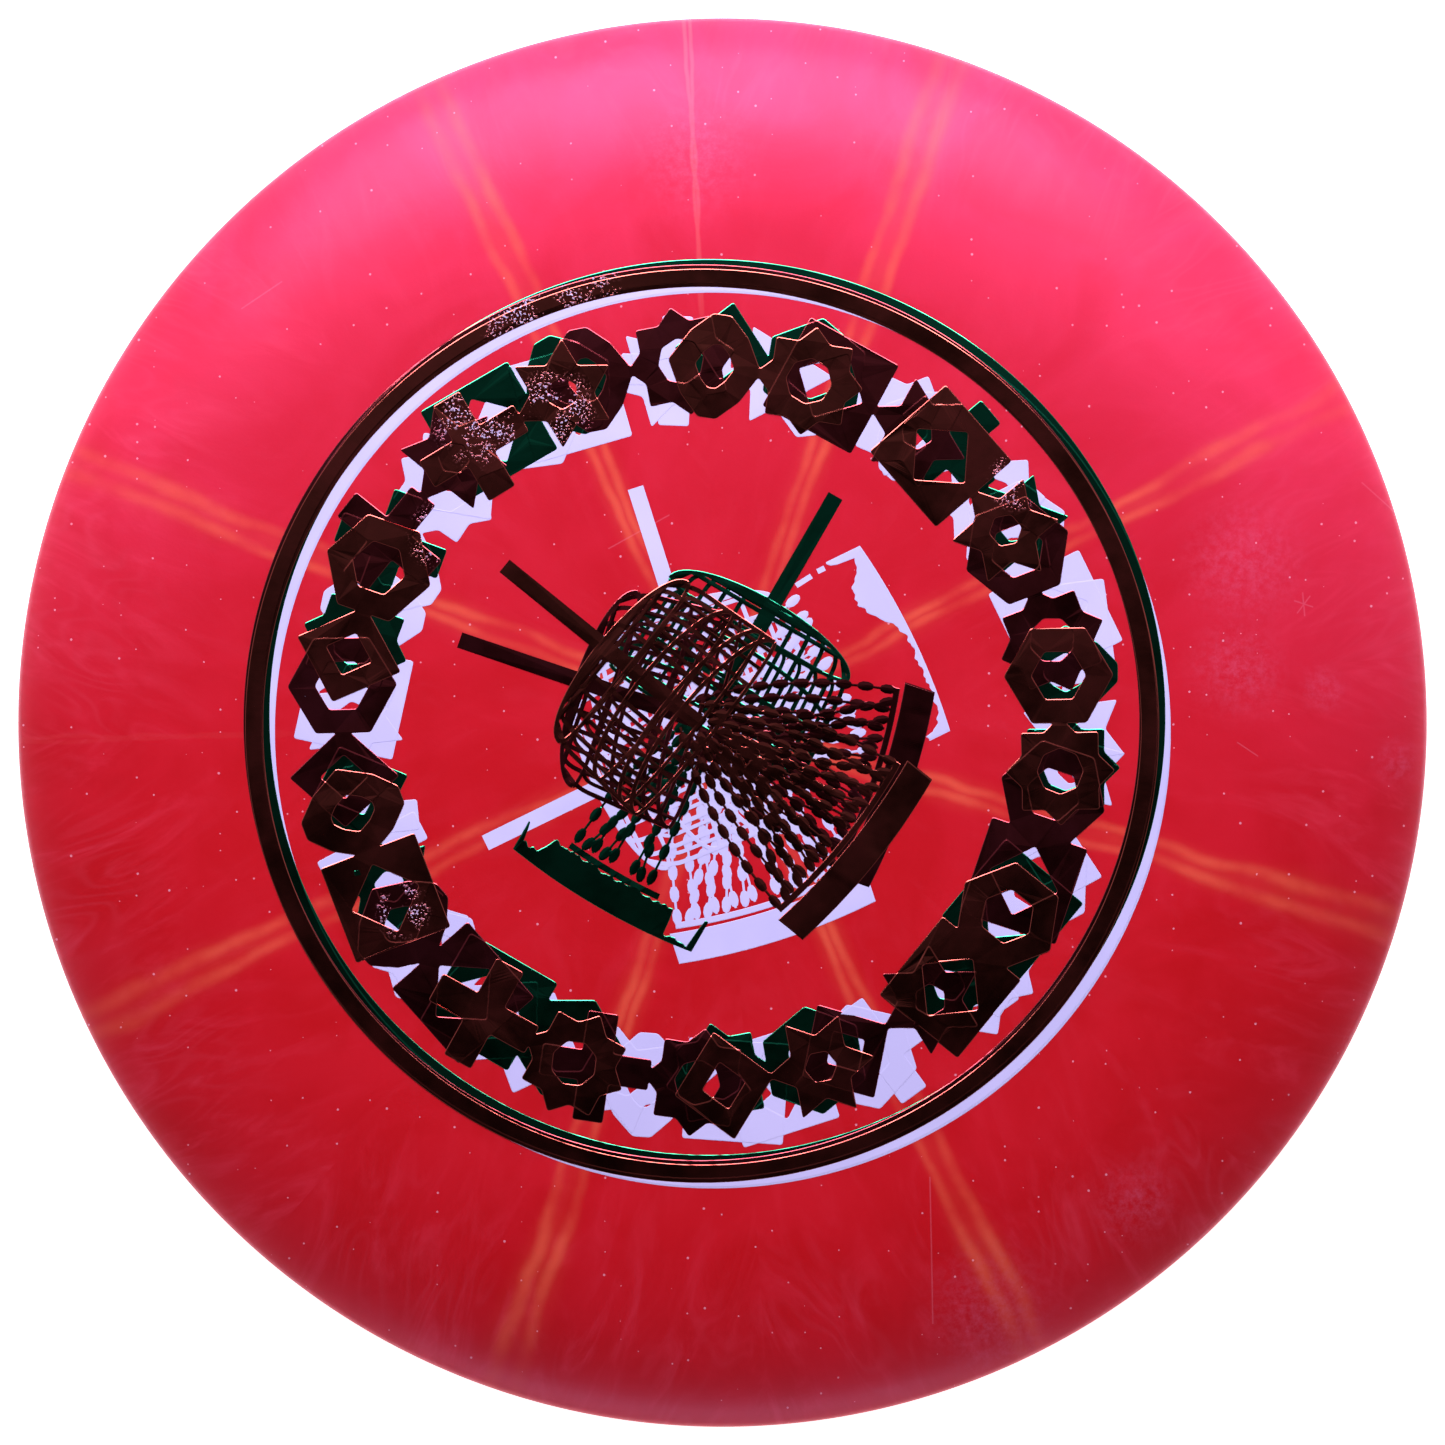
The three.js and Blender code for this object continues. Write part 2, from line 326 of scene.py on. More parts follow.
def chain_lines():
    """Middle lines of the strands on the +X side: a set that hangs wide, and a closer set behind it."""
    hook = BAND_HIGH - BAND_DEPTH - STRIP_GAP - 0.3
    wide = [((1.8 + 3 * i, hook), (1.5 + 2.4 * i, 9), (0.6 + 0.4 * i, 4 - 1.6 * i)) for i in range(STRANDS)]
    close = [((3.3 + 3 * i, hook), (0.9 + 1.4 * i, 15), (0.3, 9 - 2.6 * i)) for i in range(STRANDS - 1)]
    return [np.array([ends[0]] + bezier(ends, 60)) for ends in wide + close]


def chain_shapes(top_end, lost):
    """Strands of long links from the band to the pole, without those that the press left out."""
    shapes = []
    for side in (-1, 1):
        for number, line in enumerate(chain_lines(), 1):
            if side * number in lost:
                continue
            line = line[line[:, 1] < top_end] * (side, 1)
            length = np.hypot(*np.diff(line, axis=0).T).sum()
            shapes += [link_shape(line, at) for at in np.arange(0.04, 1, LINK_PITCH / length)]
            shapes.append(strip(line[::4], CHAIN_CORE))
    return shapes


def link_shape(line, share):
    """One long link on a line, that share of the way along it."""
    place = share * (len(line) - 1)
    i = min(int(place), len(line) - 2)
    centre = line[i] + (line[i + 1] - line[i]) * (place - i)
    forward = (line[i + 1] - line[i]) / math.hypot(*(line[i + 1] - line[i]))
    across = np.array([-forward[1], forward[0]])
    angles = np.radians(np.arange(0, 360, 36))
    long, wide = LINK_HALF
    return np.array([centre + forward * math.cos(a) * long + across * math.sin(a) * wide for a in angles])


def cage_point(share, height, dip):
    """A place on the cage: share is -1 to 1 across it, height 0 to 1 from its foot to its top hoop."""
    x = share * CAGE_HALF * (CAGE_TAPER + (1 - CAGE_TAPER) * height)
    y = CAGE_LOW + (CAGE_TOP - CAGE_LOW) * height - dip * math.sqrt(1 - share**2)
    return np.array([x, y])


def bent_wire(share, dip):
    """Down one side of the cage, round a corner, along its foot, and up the other side."""
    top, bend, corner = (cage_point(-share, height, dip) for height in (HOOP_HEIGHTS[-1], WIRE_ROUND, 0))
    foot = cage_point(-share * (1 - WIRE_ROUND), 0, dip)
    line = [top, bend] + [np.array(place) for place in bezier([bend, corner, foot], 6)]
    return line + [place * (-1, 1) for place in reversed(line)]


def cage_shapes():
    """Hoops and bent wires of the basket: its near side bows down, and its far side a little up."""
    near = (CAGE_DIP, WIRE, NEAR_WIRES)
    far = (CAGE_DIP * FAR_DIP, WIRE * FAR_WIRE, FAR_WIRES)
    turns = np.radians(np.arange(-90, 91, 6))
    hoops, bent = [], []
    for dip, wire, shares in (near, far):
        for height in HOOP_HEIGHTS:
            hoops.append(strip([cage_point(math.sin(turn), height, dip) for turn in turns], wire))
        bent += [strip(bent_wire(share, dip), wire) for share in shares]
    return hoops + bent


def picture_shapes(name):
    """Every shape of the picture as a pass left it. They overlap."""
    pole = strip([(0, POLE_FOOT), (0, 0)], POLE_WIDTH)
    chains = chain_shapes(CHAIN_ENDS.get(name, BAND_HIGH), LOST_STRANDS.get(name, ()))
    crumbs = [strip(line, CRUMB_WIDTH) for line in CRUMBS.get(name, ())]
    return band_shapes(name) + [pole] + chains + cage_shapes() + crumbs


# ---- Stamp passes -------------------------------------------------------------------------------


def die_place(name):
    """Where a pass was struck: the die's centre, and the direction of its +Y in radians."""
    low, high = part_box(f"{name}_border")
    centre = (low + high) / 2
    faces = top_faces(f"{name}_target")
    total = sum(face.area for face in faces)
    middle = sum((face.center * face.area for face in faces), Vector()) / total
    offset = middle - centre
    return np.array(centre[:2]) / MM, math.atan2(offset.y, offset.x)


def placed(shape, centre, up):
    """A shape of the die on the disc."""
    turn = up - math.pi / 2
    c, s = math.cos(turn), math.sin(turn)
    return shape @ np.array([[c, s], [-s, c]]) + centre


def pass_pieces(name):
    """Every patch of a pass: node name to a list of areas, each a list of loops, outer first."""
    centre, up = die_place(name)
    pieces = {}
    for node in sorted(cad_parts):
        if node.startswith(f"{name}_marks"):
            loops = sorted(outline_loops(node), key=signed_area, reverse=True)
            pieces[node] = [[rounded(loop) for loop in loops]]
    reach = np.hypot(*(np.vstack(outline_loops(f"{name}_border")) - centre).T)
    pieces[f"{name}_border"] = [[circle(centre, reach.max(), 480), circle(centre, reach.min(), 480)]]
    pieces[f"{name}_target"] = [[placed(shape, centre, up)] for shape in picture_shapes(name)]
    return pieces


# ---- Maps of which pass lies where --------------------------------------------------------------

GRID_COUNT = int(2 * GRID_HALF / GRID)


def filled(loops):
    """A map of the area inside the loops, by the even-odd rule."""
    crossings = np.zeros((GRID_COUNT, GRID_COUNT + 1), np.uint8)
    for loop in loops:
        for (x0, y0), (x1, y1) in zip(loop, np.roll(loop, -1, axis=0)):
            if y0 > y1:
                x0, y0, x1, y1 = x1, y1, x0, y0
            first = math.ceil((y0 + GRID_HALF) / GRID - 0.5)
            last = math.ceil((y1 + GRID_HALF) / GRID - 0.5)
            rows = np.arange(first, last)
            if len(rows) == 0:
                continue
            heights = (rows + 0.5) * GRID - GRID_HALF
            x = x0 + (x1 - x0) * (heights - y0) / (y1 - y0)
            columns = np.ceil((x + GRID_HALF) / GRID - 0.5).astype(int)
            crossings[rows, columns] ^= 1
    rows = np.flatnonzero(crossings.any(axis=1))
    inside = np.zeros((GRID_COUNT, GRID_COUNT), bool)
    inside[rows] = np.cumsum(crossings[rows, :-1], axis=1) % 2 == 1
    return inside


def softened(cover):
    """A map with its edges turned into slopes."""
    reach = 4
    weights = np.exp(-((np.arange(-reach, reach + 1) * GRID) ** 2) / (2 * BLUR**2))
    weights /= weights.sum()
    rows, columns = (np.flatnonzero(cover.any(axis=axis)) for axis in (1, 0))
    window = np.s_[rows[0] - reach : rows[-1] + reach + 1, columns[0] - reach : columns[-1] + reach + 1]
    part = cover[window].astype(np.float32)
    for axis in (0, 1):
        part = sum(w * np.roll(part, i - reach, axis=axis) for i, w in enumerate(weights))
    result = np.zeros(cover.shape, np.float32)
    result[window] = np.clip((part - 0.06) / 0.88, 0, 1)
    return result


def bridged(base):
    """The layers below as foil spans them: it rests on their tops, and doesn't dip between thin wires."""
    bed = base
    for axis in (0, 1):
        for shift in (1, 2, 3, 6):
            sides = np.maximum(np.roll(bed, shift, axis=axis), np.roll(bed, -shift, axis=axis))
            bed = np.maximum(bed, sides)
    for axis in (0, 1):
        for shift in (6, 3):
            bed = (bed + np.roll(bed, shift, axis=axis) + np.roll(bed, -shift, axis=axis)) / 3
    return bed


def sample(values, points):
    """The map's values at points, straight-line between its cells."""
    place = (points + GRID_HALF) / GRID - 0.5
    cell = np.clip(np.floor(place).astype(int), 0, GRID_COUNT - 2)
    u, v = (place - cell).T
    x, y = cell.T
    low = values[y, x] * (1 - u) + values[y, x + 1] * u
    high = values[y + 1, x] * (1 - u) + values[y + 1, x + 1] * u
    return low * (1 - v) + high * v


# ---- Patches of foil ----------------------------------------------------------------------------


def lower_lines(lines, mask):
    """Runs of the lower passes' edge lines that lie under a patch."""
    runs = []
    for line in lines:
        cell = np.clip(((line + GRID_HALF) / GRID).astype(int), 0, GRID_COUNT - 1)
        under = mask[cell[:, 1], cell[:, 0]]
        if not under.any():
            continue
        start = None
        for i, inside in enumerate(list(under) + [False]):
            if inside and start is None:
                start = i
            elif not inside and start is not None:
                if i - start > 1:
                    runs.append(line[start:i])
                start = None
    return runs


def widened(mask):
    """A map grown by two cells each way."""
    for axis in (0, 1):
        for shift in (1, 2):
            mask = mask | np.roll(mask, shift, axis=axis) | np.roll(mask, -shift, axis=axis)
    return mask


def patch_mesh(name, areas, lines, base, own):
    """One patch of foil as a closed sheet that is draped over what lies under it.

    base is the map of how many layers lie under the patch, and own is the softened map of the patch.
    lines are the edges beneath that show through it.
    """
    points, edges, faces, holes = [], [], [], []

    def add(line, closed):
        start = len(points)
        points.extend(map(tuple, line))
        indices = list(range(start, start + len(line)))
        edges.extend(zip(indices, indices[1:]))
        if closed:
            edges.append((indices[-1], indices[0]))
        return indices

    for area in areas:
        for number, loop in enumerate(area):
            loop = loop if signed_area(loop) > 0 else loop[::-1]
            indices = add(loop, True)
            (faces if number == 0 else holes).append(indices)
            for inset in (0.5, 1):
                if len(areas) == 1 or len(loop) > 40:
                    side = 1 if number == 0 else -1
                    add(beside(loop, side * inset * EDGE_WIDTH), True)
    for run in lines:
        add(run, False)
    result = delaunay_2d_cdt([Vector(p) for p in points], edges, faces + holes, 0, 1e-4, True)
    flat, triangles, parents = np.array([tuple(v) for v in result[0]]), result[2], result[5]
    solid = set(range(len(faces)))
    kept = [t for t, ids in zip(triangles, parents) if solid & set(ids) and not set(ids) - solid]
    used = sorted({i for t in kept for i in t})
    renumber = {old: new for new, old in enumerate(used)}
    kept = [tuple(renumber[i] for i in t) for t in kept]
    flat = flat[used]
    ground = sample(base, flat) * FOIL_THICKNESS + HEIGHT
    edge = np.clip(sample(own, flat) * 2 - 1, 0, 1)
    top = ground + FOIL_THICKNESS * (0.12 + 0.88 * edge)
    return closed_sheet(name, flat, top, ground - UNDERLAP, kept)


def signed_area(loop):
    """The area inside a loop, below 0 where the loop runs clockwise."""
    x, y = loop.T
    return 0.5 * np.sum(x * np.roll(y, -1) - np.roll(x, -1) * y)


def closed_sheet(name, flat, top, bottom, triangles):
    """A sheet with a top, a bottom and walls round its open edges."""
    count = len(flat)
    vertices = [(x, y, z) for (x, y), z in zip(flat, top)] + [(x, y, z) for (x, y), z in zip(flat, bottom)]
    faces = list(triangles) + [(a + count, c + count, b + count) for a, b, c in triangles]
    sides = set()
    for a, b, c in triangles:
        sides |= {(a, b), (b, c), (c, a)}
    faces += [(b, a, a + count, b + count) for a, b in sides if (b, a) not in sides]
    return mesh_object(name, vertices, faces, False)


# ---- Materials ----------------------------------------------------------------------------------


class Graph:
    """Writes a material's nodes. An input is a number, a tuple or another node's output."""

    def __init__(self, name):
        self.material = bpy.data.materials.new(name)
        self.material.use_nodes = True
        self.tree = self.material.node_tree
        self.shader = self.tree.nodes["Principled BSDF"]

    def node(self, kind, inputs=(), output=0, **settings):
        node = self.tree.nodes.new(kind)
        for key, value in settings.items():
            setattr(node, key, value)
        for key, value in dict(inputs).items():
            self.set(node.inputs[key], value)
        return node.outputs[output]

    def set(self, socket, value):
        if isinstance(value, bpy.types.NodeSocket):
            self.tree.links.new(value, socket)
        else:
            socket.default_value = value

    def math(self, operation, *values, clamp=False):
        return self.node("ShaderNodeMath", enumerate(values), operation=operation, use_clamp=clamp)

    def vector(self, operation, *values, output=0):
        return self.node("ShaderNodeVectorMath", enumerate(values), output, operation=operation)

    def ramp(self, value, low, high, start=0.0, end=1.0):
        """A smooth step from start to end as value goes from low to high."""
        inputs = {"Value": value, "From Min": low, "From Max": high, "To Min": start, "To Max": end}
        return self.node("ShaderNodeMapRange", inputs, interpolation_type="SMOOTHSTEP")

    def noise(self, vector, scale, detail=3.0, roughness=0.5, distortion=0.0):
        inputs = {"Vector": vector, "Scale": scale, "Detail": detail, "Roughness": roughness}
        inputs["Distortion"] = distortion
        return self.node("ShaderNodeTexNoise", inputs, "Fac")

    def mix(self, factor, a, b):
        node = self.tree.nodes.new("ShaderNodeMix")
        node.data_type = "RGBA"
        for socket, value in zip((node.inputs[0], node.inputs[6], node.inputs[7]), (factor, a, b)):
            self.set(socket, value)
        return node.outputs[2]

    def bump(self, height, strength, distance, normal=None):
        inputs = {"Height": height, "Strength": strength, "Distance": distance}
        if normal is not None:
            inputs["Normal"] = normal
        return self.node("ShaderNodeBump", inputs)

    def finish(self, **values):
        for key, value in values.items():
            self.set(self.shader.inputs[key.replace("_", " ")], value)
        return self.material


def colour(red, green, blue):
    """A colour of the screen, 0 to 255, as Blender's linear values."""
    shares = (c / 255 for c in (red, green, blue))
    return (*(((c + 0.055) / 1.055) ** 2.4 if c > 0.0404 else c / 12.92 for c in shares), 1.0)


# Degrees from +X of the moulding's rays, and an angle between two rays where their count starts.
RAY_ANGLES = (27.8, 71, 114.8, 158, 205.4, 251.6, 296.2, 343.2)
RAY_SEAM = 5.5
# Where two flows met between rays: the number of the gap, and how clearly it shows.
WELD_LINES = {2: 1.0, 4: 0.15}
# Rubbed places, each a middle and a reach, and scratches, each from a point to a point.
SCUFFS = ((78, 24, 13), (77, 8, 10), (90, 5, 5), (101, -6, 5), (40, -88, 14), (-4, 84, 12), (62, -72, 9))
SCRATCHES = (
    (31, -68, 31.5, -90), (86.0, 16.4, 87.9, 18.9), (85.6, 18.2, 88.3, 17.3), (86.8, 19.4, 87.1, 16.0),
    (-17, 26, -8, 31), (77, -3, 80, -5), (96, 36, 103, 30), (-72, 62, -66, 66),
)


def ray_fold(graph, angle):
    """The place between two mid-sectors, -0.5 to 0.5 and 0 on every ray, and the sector's number."""
    turned = graph.math("ADD", graph.math("DIVIDE", angle, 2 * math.pi), 1 - RAY_SEAM / 360)
    share = graph.math("FRACT", turned)
    node = graph.tree.nodes.new("ShaderNodeFloatCurve")
    curve = node.mapping.curves[0]
    for i, ray in enumerate(RAY_ANGLES):
        curve.points.new((ray - RAY_SEAM) / 360, (i + 0.5) / len(RAY_ANGLES))
    node.mapping.update()
    graph.set(node.inputs["Value"], share)
    count = graph.math("MULTIPLY", node.outputs[0], len(RAY_ANGLES))
    return graph.math("SUBTRACT", graph.math("FRACT", count), 0.5), graph.math("FLOOR", count)


def rays(graph, flat, radius, lateral):
    """How strongly the pair of rays shows: two soft lines with a glow round them, which fade at the rim."""
    uneven = graph.ramp(graph.noise(flat, 0.05, 2), 0.3, 0.7, 0.1, 0.95)
    spacing = graph.math("MULTIPLY_ADD", radius, 0.0135, uneven)
    off_line = graph.math("ABSOLUTE", graph.math("SUBTRACT", graph.math("ABSOLUTE", lateral), spacing))
    line = graph.ramp(off_line, 0.0, graph.ramp(radius, 60, 104, 1.1, 1.8), 0.36, 0)
    glow = graph.ramp(graph.math("ABSOLUTE", lateral), 0.3, graph.ramp(radius, 70, 104, 3.5, 6.5), 0.12, 0)
    patchy = graph.ramp(graph.noise(flat, 0.08, 4), 0.3, 0.68, 0.25, 1)
    patchy = graph.math("MULTIPLY", patchy, graph.ramp(radius, 88, 105, 1, 0.45))
    return graph.math("MULTIPLY", graph.math("ADD", line, glow), patchy)


def welds(graph, radius, sector, fold, arc_length, wander):
    """How strongly the hairlines show where two flows met, half way between rays."""
    to_weld = graph.math("MULTIPLY", graph.math("SUBTRACT", 0.5, graph.math("ABSOLUTE", fold)), arc_length)
    to_weld = graph.math("ABSOLUTE", graph.math("SUBTRACT", to_weld, graph.math("ABSOLUTE", wander)))
    nearest = graph.math("ADD", sector, graph.math("GREATER_THAN", fold, 0.0))
    strength = 0.0
    for line_number, share in WELD_LINES.items():
        chosen = graph.math("COMPARE", nearest, line_number, 0.4)
        strength = graph.math("MULTIPLY_ADD", chosen, share, strength)
    line = graph.math("MULTIPLY", graph.ramp(to_weld, 0.1, 0.45, 1, 0), graph.ramp(radius, 50, 75))
    return graph.math("MULTIPLY", line, strength)


def flow_streaks(graph, flat, radius, sector, fold, arc_length):
    """Soft streaks along the flow, and faint nested lines towards the nose."""
    stretched = graph.node("ShaderNodeCombineXYZ", {
        "X": graph.math("MULTIPLY", graph.math("MULTIPLY", fold, arc_length), 0.16),
        "Y": graph.math("MULTIPLY", radius, 0.05),
        "Z": graph.math("MULTIPLY", sector, 3.7),
    })
    outward = graph.ramp(radius, 72, 98, 0.3, 1)
    streak = graph.ramp(graph.noise(stretched, 1.0, 6, 0.62, 1.4), 0.45, 0.75)
    level = graph.math("FRACT", graph.math("MULTIPLY", graph.noise(stretched, 0.8, 1), 11))
    nested = graph.math("ABSOLUTE", graph.math("SUBTRACT", level, 0.5))
    nested = graph.math("MULTIPLY", graph.ramp(nested, 0.0, 0.3, 1, 0), graph.ramp(radius, 80, 96))
    nested = graph.math("MULTIPLY", nested, graph.ramp(graph.noise(flat, 0.05, 2), 0.42, 0.62))
    return graph.math("MULTIPLY", streak, outward), nested


def specks(graph, flat):
    """Small pale specks of dust and nicks, scattered."""
    inputs = {"Vector": flat, "Scale": 0.4}
    cells = graph.node("ShaderNodeTexVoronoi", inputs, voronoi_dimensions="2D").node
    pick = graph.node("ShaderNodeSeparateColor", {0: cells.outputs["Color"]}).node
    size = graph.math("MULTIPLY_ADD", pick.outputs[1], 0.055, 0.02)
    there = graph.math("LESS_THAN", cells.outputs["Distance"], size)
    return graph.math("MULTIPLY", there, graph.math("GREATER_THAN", pick.outputs[0], 0.88))


def scratches(graph, flat):
    """Hairlines from place to place."""
    share = 0.0
    for x0, y0, x1, y1 in SCRATCHES:
        start, way = (x0, y0, 0), (x1 - x0, y1 - y0, 0)
        reach = (x1 - x0) ** 2 + (y1 - y0) ** 2
        along_it = graph.vector("DOT_PRODUCT", graph.vector("SUBTRACT", flat, start), way, output="Value")
        along_it = graph.math("DIVIDE", along_it, reach, clamp=True)
        nearest = graph.node("ShaderNodeVectorMath", {0: way, "Scale": along_it}, operation="SCALE")
        nearest = graph.vector("ADD", nearest, start)
        distance = graph.vector("DISTANCE", flat, nearest, output="Value")
        share = graph.math("MAXIMUM", share, graph.ramp(distance, 0.04, 0.16, 1, 0))
    return share


def scuffs(graph, flat):
    """A few rubbed places, paler and ragged."""
    share = 0.0
    for x, y, reach in SCUFFS:
        distance = graph.vector("DISTANCE", flat, (x, y, 0), output="Value")
        share = graph.math("MAXIMUM", share, graph.ramp(distance, 0, reach, 1, 0))
    ragged = graph.ramp(graph.noise(flat, 0.7, 6, 0.75), 0.36, 0.7)
    return graph.math("MULTIPLY", share, ragged)


def disc_plastic():
    """Marbled plastic: pairs of orange rays, weld lines between them, streaks and a little wear.

    It is worked out in millimetres on the disc. It is red, and turns pink towards the nose on the +Y side:
    partly the plastic's own tone, and partly a painted highlight where the window on the +Y side lights it.
    """
    graph = Graph("disc_plastic")
    place = graph.node("ShaderNodeTexCoord", output="Object")
    place = graph.vector("MULTIPLY", place, (1 / MM, 1 / MM, 1 / MM))
    axes = graph.node("ShaderNodeSeparateXYZ", {0: place}).node.outputs
    flat = graph.vector("MULTIPLY", place, (1, 1, 0))
    radius = graph.vector("LENGTH", flat, output="Value")
    fold, sector = ray_fold(graph, graph.math("ARCTAN2", axes["Y"], axes["X"]))
    arc_length = graph.math("MULTIPLY", radius, 2 * math.pi / len(RAY_ANGLES))
    wander = graph.math("MULTIPLY", graph.math("SUBTRACT", graph.noise(flat, 0.055, 3), 0.5), 3.0)
    lateral = graph.math("MULTIPLY_ADD", fold, arc_length, wander)

    ray = rays(graph, flat, radius, lateral)
    weld = welds(graph, radius, sector, fold, arc_length, wander)
    streak, nested = flow_streaks(graph, flat, radius, sector, fold, arc_length)
    swirl = graph.ramp(graph.noise(flat, 0.045, 5, 0.55, 1.2), 0.3, 0.7)

    # Painted highlight: the base colour turns pink towards +Y and towards the nose, where the window on the
    # +Y side lights the shoulder; part of the pink rim is the plastic's own tone.
    across = graph.vector("DOT_PRODUCT", flat, (0.1, 1, 0), output="Value")
    rim_tone_and_painted_highlight = graph.math("MULTIPLY", graph.ramp(across, -30, 110), graph.ramp(radius, 50, 104, 0.3, 1))
    base = graph.mix(swirl, colour(192, 17, 23), colour(200, 23, 34))
    base = graph.mix(rim_tone_and_painted_highlight, base, graph.mix(swirl, colour(228, 50, 86), colour(236, 60, 101)))
    base = graph.mix(graph.math("MULTIPLY", streak, 0.14), base, colour(250, 90, 120))
    base = graph.mix(graph.math("MULTIPLY", nested, 0.022), base, colour(255, 150, 185))
    base = graph.mix(ray, base, colour(240, 112, 78))
    base = graph.mix(graph.math("MULTIPLY", weld, 0.13), base, colour(255, 160, 150))
    base = graph.mix(graph.math("MULTIPLY", scuffs(graph, flat), 0.12), base, colour(225, 150, 200))
    base = graph.mix(graph.math("MULTIPLY", scratches(graph, flat), 0.09), base, colour(250, 180, 210))
    base = graph.mix(graph.math("MULTIPLY", specks(graph, flat), 0.45), base, colour(250, 190, 215))

    fine = graph.noise(flat, 2.2, 3, 0.6)
    return graph.finish(
        Base_Color=base, Roughness=graph.ramp(fine, 0.2, 0.8, 0.34, 0.42),
        Normal=graph.bump(fine, 0.12, 0.00012),
        Subsurface_Weight=0.2, Subsurface_Radius=(1.0, 0.25, 0.3), Subsurface_Scale=0.002,
        Coat_Weight=0.04, Coat_Roughness=0.25, IOR=1.45, Specular_IOR_Level=0.35,
        Specular_Tint=(1.0, 0.45, 0.95, 1.0),
        Sheen_Weight=0.06, Sheen_Roughness=0.3, Sheen_Tint=(0.85, 0.7, 1.0, 1.0),
    )


def white_foil():
    """Flat white foil with a lilac tinge."""
    graph = Graph("white_foil")
    place = graph.node("ShaderNodeTexCoord", output="Object")
    cloud = graph.noise(place, 60, 4)
    base = graph.mix(graph.ramp(cloud, 0.35, 0.7), colour(198, 194, 238), colour(206, 201, 244))
    relief = graph.bump(graph.noise(place, 1400, 2), 0.1, 0.00005)
    return graph.finish(Base_Color=base, Roughness=0.55, Normal=relief, Specular_IOR_Level=0.3)


# Where the copper foil wrinkled as it went down: middle and reach, in millimetres on the disc.
WRINKLED_SPOTS = (
    (-36, 46, 9), (-25, 47, 7), (-42, 28, 6), (-30, 60, 7), (-20, 64, 6), (44, 36, 5), (-48, -28, 5),
)
# Pale colour of the wrinkled spots: the layer beneath, and painted glints of the wrinkled foil.
PALE_FLECK_AND_GLINT_COLOUR = colour(196, 184, 224)


def wrinkled_places(graph, place):
    """Nearly 1 in the middle of each wrinkled spot, ragged towards its edge, and 0 elsewhere."""
    share = 0.0
    for x, y, reach in WRINKLED_SPOTS:
        distance = graph.vector("DISTANCE", place, (x * MM, y * MM, HEIGHT * MM), output="Value")
        near = graph.ramp(distance, reach * MM * 0.4, reach * MM, 1, 0)
        share = graph.math("MAXIMUM", share, near)
    patchy = graph.ramp(graph.noise(place, 330, 3, 0.6), 0.42, 0.56)
    return graph.math("MULTIPLY", share, patchy)


def metal_foil(name, tint, dull, wrinkled=False):
    """Metallised foil: a mirror, a little mottled. Where it wrinkled, pale spots are painted in: partly the
    layer beneath showing through, and partly painted glints of the wrinkled foil.
    """
    graph = Graph(name)
    place = graph.node("ShaderNodeTexCoord", output="Object")
    mottle = graph.noise(place, 90, 4, 0.6)
    base = graph.mix(graph.ramp(mottle, 0.35, 0.7), tint, dull)
    relief = graph.bump(mottle, 0.1, 0.0002)
    metallic = 1.0
    roughness = graph.ramp(mottle, 0.3, 0.7, 0.12, 0.2)
    if wrinkled:
        # Painted glints: pale spots in the wrinkled places, partly where the layer beneath shows through;
        # metallic is lowered there and a bump is added.
        flecks_and_painted_glints = graph.ramp(graph.noise(place, 2400, 1, 0.6), 0.57, 0.62)
        flecks_and_painted_glints = graph.math("MULTIPLY", flecks_and_painted_glints, wrinkled_places(graph, place))
        base = graph.mix(flecks_and_painted_glints, base, PALE_FLECK_AND_GLINT_COLOUR)
        metallic = graph.math("SUBTRACT", 1.0, graph.math("MULTIPLY", flecks_and_painted_glints, 0.8))
        relief = graph.bump(flecks_and_painted_glints, 0.5, 0.0001, relief)
    return graph.finish(Base_Color=base, Metallic=metallic, Roughness=roughness, Normal=relief)


def floor_surface():
    """White acrylic over a light table."""
    graph = Graph("floor")
    place = graph.node("ShaderNodeTexCoord", output="Object")
    tone = graph.noise(place, 3, 2)
    base = graph.mix(tone, (0.9, 0.9, 0.91, 1), (0.93, 0.93, 0.935, 1))
    return graph.finish(
        Base_Color=base, Roughness=0.7, Emission_Color=(1.0, 1.0, 1.0, 1.0), Emission_Strength=1.0)


# ---- Making -------------------------------------------------------------------------------------


def make_body():
    """The moulding, in place of its CAD node."""
    body = lathe("disc_moulding", body_section(), TURN_STEPS)
    body.data.materials.append(disc_plastic())
    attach(body, "root")
    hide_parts("disc_body")


BROAD_SHAPES = 3  # how many of a picture's shapes show through


def edge_lines(pieces):
    """The lines of a pass that show through the foil above: its edges, and one each side of them.

    Of a picture only the first few shapes count, mainly its band and pole, because the foil above
    spans its thin wires.
    """
    lines = []
    for node, areas in pieces.items():
        shown = areas[:BROAD_SHAPES] if node.endswith("_target") else areas
        for area in shown:
            for loop in area:
                dense = along(loop, LINE_STEP)
                dense = np.vstack([dense, dense[:1]])
                lines += [dense] + [beside(dense, side * STEP_HALF, closed=False) for side in (-1, 1)]
    return lines


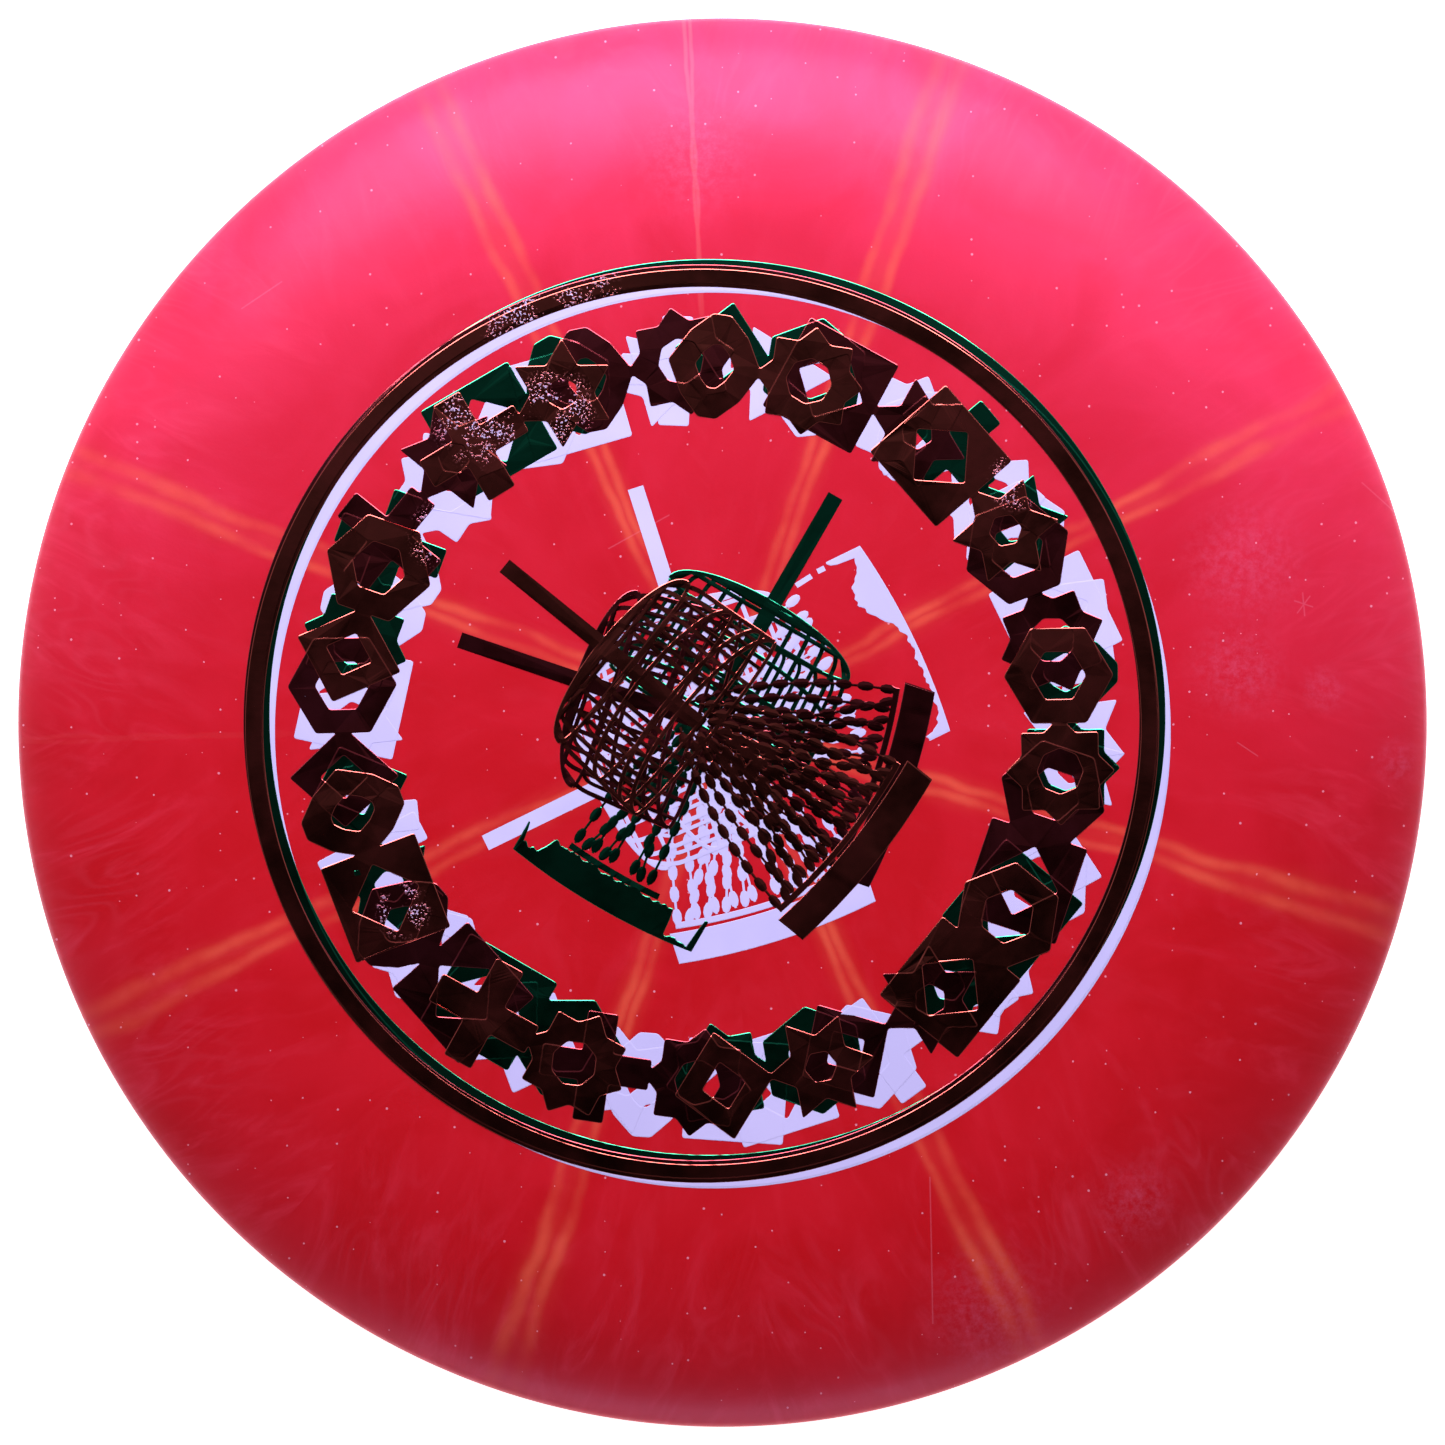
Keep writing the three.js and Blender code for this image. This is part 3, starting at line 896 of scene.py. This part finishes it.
def make_foils():
    """The five passes from the first to the last, each draped over those before it."""
    names = [node[: -len("_border")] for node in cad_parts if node.endswith("_border")]
    names.sort(key=lambda name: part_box(f"{name}_border")[0].z)
    white = white_foil()
    finishes = {
        "white_foil_1": white,
        "white_foil_2": white,
        "green_foil": metal_foil("green_foil", colour(50, 176, 130), colour(30, 130, 96)),
        "copper_foil_1": metal_foil("copper_foil_darker", colour(200, 84, 88), colour(172, 72, 84), True),
        "copper_foil_2": metal_foil("copper_foil", colour(226, 114, 98), colour(204, 94, 86), True),
    }
    older = newest = np.zeros((GRID_COUNT, GRID_COUNT), np.float32)
    lines = []
    for name in names:
        pieces = pass_pieces(name)
        spanned = bridged(older + newest)
        cover = np.zeros((GRID_COUNT, GRID_COUNT), bool)
        for node, areas in pieces.items():
            mask = np.zeros((GRID_COUNT, GRID_COUNT), bool)
            for area in areas:
                mask |= filled(area)
            cover |= mask
            if node.endswith("_target"):
                below, bed = [], spanned
            else:
                below, bed = lower_lines(lines, widened(mask)), older + newest
            patch = patch_mesh(f"foil_{node}", areas, below, bed, softened(mask))
            patch.data.materials.append(finishes[name])
            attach(patch, "root")
            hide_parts(node)
        older, newest = spanned, softened(cover)
        lines = edge_lines(pieces)


def make_floor():
    """A plain pale surface under the disc."""
    bpy.ops.mesh.primitive_plane_add(size=6, location=(0, 0, -0.0002))
    floor = bpy.context.object
    floor.name = "floor"
    floor.data.materials.append(floor_surface())


CAMERA_HEIGHT = 1.6
FRAME_SHARE = 0.975  # of the picture's width that the disc fills
LIGHT_COLOUR = (0.90, 0.84, 1.0)


def make_camera():
    """Straight above the disc's centre."""
    data = bpy.data.cameras.new("camera")
    camera = bpy.data.objects.new("camera", data)
    bpy.context.scene.collection.objects.link(camera)
    camera.location = (0, 0, CAMERA_HEIGHT)
    distance = CAMERA_HEIGHT - NOSE_HEIGHT * MM
    data.angle = 2 * math.atan(DISC_RADIUS * MM / FRAME_SHARE / distance)
    data.clip_start, data.clip_end = 0.05, 50
    bpy.context.scene.camera = camera


def softbox(name, azimuth, elevation, distance, size, power):
    """An area light that faces the disc. It shows in reflections only."""
    data = bpy.data.lights.new(name, "AREA")
    data.shape = "RECTANGLE"
    data.size, data.size_y = size
    data.energy = power
    data.color = LIGHT_COLOUR
    light = bpy.data.objects.new(name, data)
    light.visible_camera = False
    bpy.context.scene.collection.objects.link(light)
    a, e = math.radians(azimuth), math.radians(elevation)
    place = Vector((math.cos(e) * math.cos(a), math.cos(e) * math.sin(a), math.sin(e)))
    light.location = place * distance
    light.rotation_euler = place.to_track_quat("Z", "Y").to_euler()


def world_ramp(nodes, links, source, low, high, start, end):
    """A smooth step from start to end as source goes from low to high."""
    node = nodes.new("ShaderNodeMapRange")
    node.interpolation_type = "SMOOTHSTEP"
    links.new(source, node.inputs["Value"])
    for key, value in zip(("From Min", "From Max", "To Min", "To Max"), (low, high, start, end)):
        node.inputs[key].default_value = value
    return node.outputs[0]


def make_world():
    """A white tent round a dark opening overhead, brightest towards +Y."""
    world = bpy.data.worlds.new("tent")
    world.use_nodes = True
    nodes, links = world.node_tree.nodes, world.node_tree.links
    place = nodes.new("ShaderNodeTexCoord")
    split = nodes.new("ShaderNodeSeparateXYZ")
    links.new(place.outputs["Generated"], split.inputs[0])
    tent = world_ramp(nodes, links, split.outputs["Z"], 0.965, 0.74, 0.0, 0.3)
    side = world_ramp(nodes, links, split.outputs["Y"], -0.5, 1.0, 0.5, 1.4)
    opening = world_ramp(nodes, links, split.outputs["Y"], 0.0, 0.08, 0.001, 0.07)
    strength = nodes.new("ShaderNodeMath")
    strength.operation = "MULTIPLY_ADD"
    for socket, source in zip(strength.inputs, (tent, side, opening)):
        links.new(source, socket)
    background = nodes["Background"]
    background.inputs["Color"].default_value = (*LIGHT_COLOUR, 1)
    links.new(strength.outputs[0], background.inputs["Strength"])
    bpy.context.scene.world = world


def make_lights():
    """One large window close beyond the top of the picture, and a weak one on the other side."""
    softbox("window", 93, 42, 0.55, (0.6, 0.3), 5.5)
    softbox("fill", 268, 12, 1.0, (0.9, 0.25), 2.9)


make_camera()
make_world()
make_lights()
make_floor()
make_body()
make_foils()
bpy.context.scene.view_settings.view_transform = "Standard"

bpy.context.view_layer.update()
